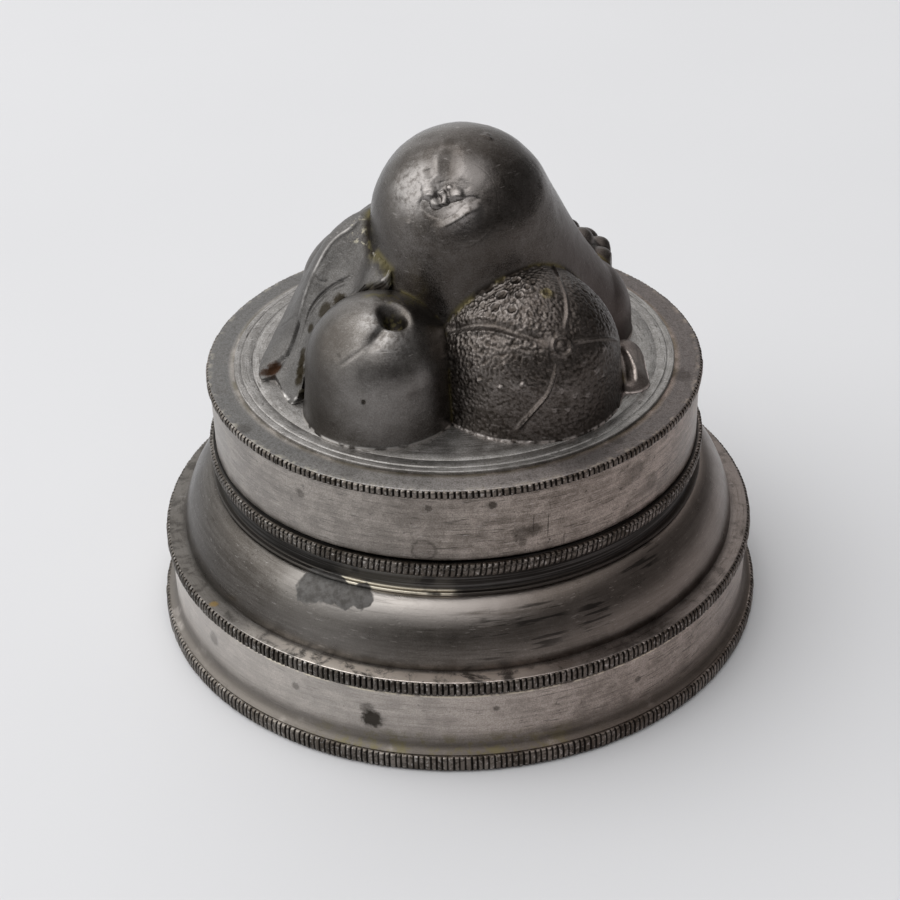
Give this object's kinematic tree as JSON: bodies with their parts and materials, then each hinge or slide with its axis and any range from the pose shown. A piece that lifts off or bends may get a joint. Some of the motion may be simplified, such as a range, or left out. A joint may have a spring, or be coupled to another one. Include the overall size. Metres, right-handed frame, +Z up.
{
  "type": "ice cream mould",
  "caption": "Round pewter ice cream mould: footed base cover, domed body with milled rings and a lift-off cover cast with fruit and a leaf.",
  "frame": {"origin": "centre of the flat face under the foot, on the mould's own axis, in the plane that it stands on", "axes": "+Z up along the axis that the cover and the body lift along; -Y is the pictured front, with the apple and the melon; +X is the viewer's right, where the pear's neck comes down"},
  "size_m": [0.17, 0.17, 0.1403],
  "materials": {
    "skirt_pewter": "turned pewter skirt, worn to a warm mid grey, half gloss, with fine turning lines and scratches",
    "body_pewter": "dark aged pewter, half gloss, with grey stains and dirt between the milled teeth",
    "plate_pewter": "turned pewter plate, mid grey, half gloss, with dark and greenish tarnish at its edges",
    "fruit_pewter": "cast pewter fruit, dark grey and half gloss, lighter where it is worn"
  },
  "bodies": {
    "base_cover": {"base_skirt_ring": "skirt_pewter", "base_floor": "plate_pewter"},
    "mould_body": {"shoulder_ring": "body_pewter", "dome_wall": "body_pewter", "collar_ring": "body_pewter"},
    "fruit_cover": {"cover_ring": "skirt_pewter", "fruit_plate": "plate_pewter", "pear": "fruit_pewter", "apple": "fruit_pewter", "melon": "fruit_pewter", "draped_leaf": "fruit_pewter", "peach": "fruit_pewter", "grapes": "fruit_pewter", "plum": "fruit_pewter", "side_leaf": "fruit_pewter"}
  },
  "joints": [
    {"name": "body_lift", "type": "slide", "parent": "base_cover", "child": "mould_body", "axis": [0, 0, 1], "range_m": [0, 0.045]},
    {"name": "cover_lift", "type": "slide", "parent": "mould_body", "child": "fruit_cover", "axis": [0, 0, 1], "range_m": [0, 0.045]}
  ]
}
